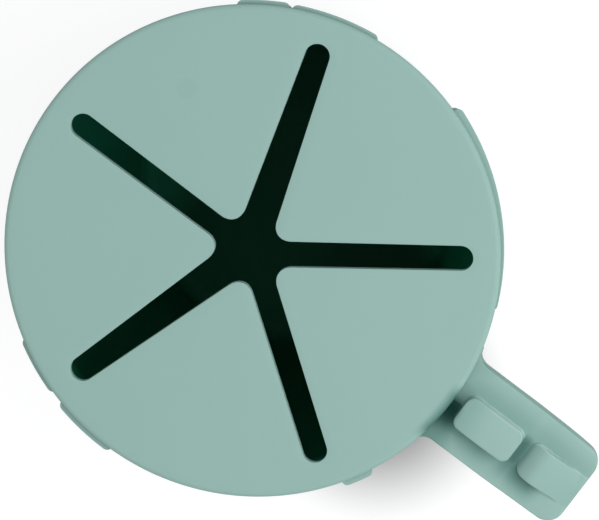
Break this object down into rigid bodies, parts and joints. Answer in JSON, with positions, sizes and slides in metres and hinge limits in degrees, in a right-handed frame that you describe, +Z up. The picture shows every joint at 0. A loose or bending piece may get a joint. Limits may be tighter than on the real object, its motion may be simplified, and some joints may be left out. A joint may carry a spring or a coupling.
{
  "type": "toddler snack cup",
  "caption": "Tapered soft cup with a short flat handle and a push-in lid cut by a star of slots into sprung petals that let a small hand in.",
  "frame": {"origin": "centre of the cup's flat underside, on the table", "axes": "+Z up along the cup's axis, +X along the handle, +Y to the cup's left seen from behind the handle"},
  "size_m": [0.1203, 0.0929, 0.0737],
  "materials": {
    "cup_silicone": "matte moulded silicone, sage green",
    "handle_silicone": "matte moulded silicone, sage green, with a parting line",
    "lid_silicone": "matte moulded silicone, sage green"
  },
  "bodies": {
    "cup": {"cup_body": "cup_silicone", "rim_pads": "cup_silicone", "handle": "handle_silicone", "inner_grip_block": "handle_silicone", "outer_grip_block": "handle_silicone"},
    "lid": {"lid_ring": "lid_silicone", "lid_plug": "lid_silicone"},
    "petal_front": {"petal_front": "lid_silicone"},
    "petal_left_front": {"petal_left_front": "lid_silicone"},
    "petal_left_back": {"petal_left_back": "lid_silicone"},
    "petal_right_back": {"petal_right_back": "lid_silicone"},
    "petal_right_front": {"petal_right_front": "lid_silicone"}
  },
  "joints": [
    {"name": "lid_pull", "type": "slide", "parent": "cup", "child": "lid", "axis": [0, 0, 1], "range_m": [0, 0.03]},
    {"name": "petal_front_bend", "type": "hinge", "parent": "lid", "child": "petal_front", "pos_m": [0.03001, 0, 0.0729], "axis": [0, -1, 0], "range_deg": [-25, 60], "stiffness_Nm_per_rad": 0.03},
    {"name": "petal_left_front_bend", "type": "hinge", "parent": "lid", "child": "petal_left_front", "pos_m": [0.00927, 0.02854, 0.0729], "axis": [0.9511, -0.309, 0], "range_deg": [-25, 60], "stiffness_Nm_per_rad": 0.03},
    {"name": "petal_left_back_bend", "type": "hinge", "parent": "lid", "child": "petal_left_back", "pos_m": [-0.02428, 0.01764, 0.0729], "axis": [0.5878, 0.809, 0], "range_deg": [-25, 60], "stiffness_Nm_per_rad": 0.03},
    {"name": "petal_right_back_bend", "type": "hinge", "parent": "lid", "child": "petal_right_back", "pos_m": [-0.02428, -0.01764, 0.0729], "axis": [-0.5878, 0.809, 0], "range_deg": [-25, 60], "stiffness_Nm_per_rad": 0.03},
    {"name": "petal_right_front_bend", "type": "hinge", "parent": "lid", "child": "petal_right_front", "pos_m": [0.00927, -0.02854, 0.0729], "axis": [-0.9511, -0.309, 0], "range_deg": [-25, 60], "stiffness_Nm_per_rad": 0.03}
  ]
}
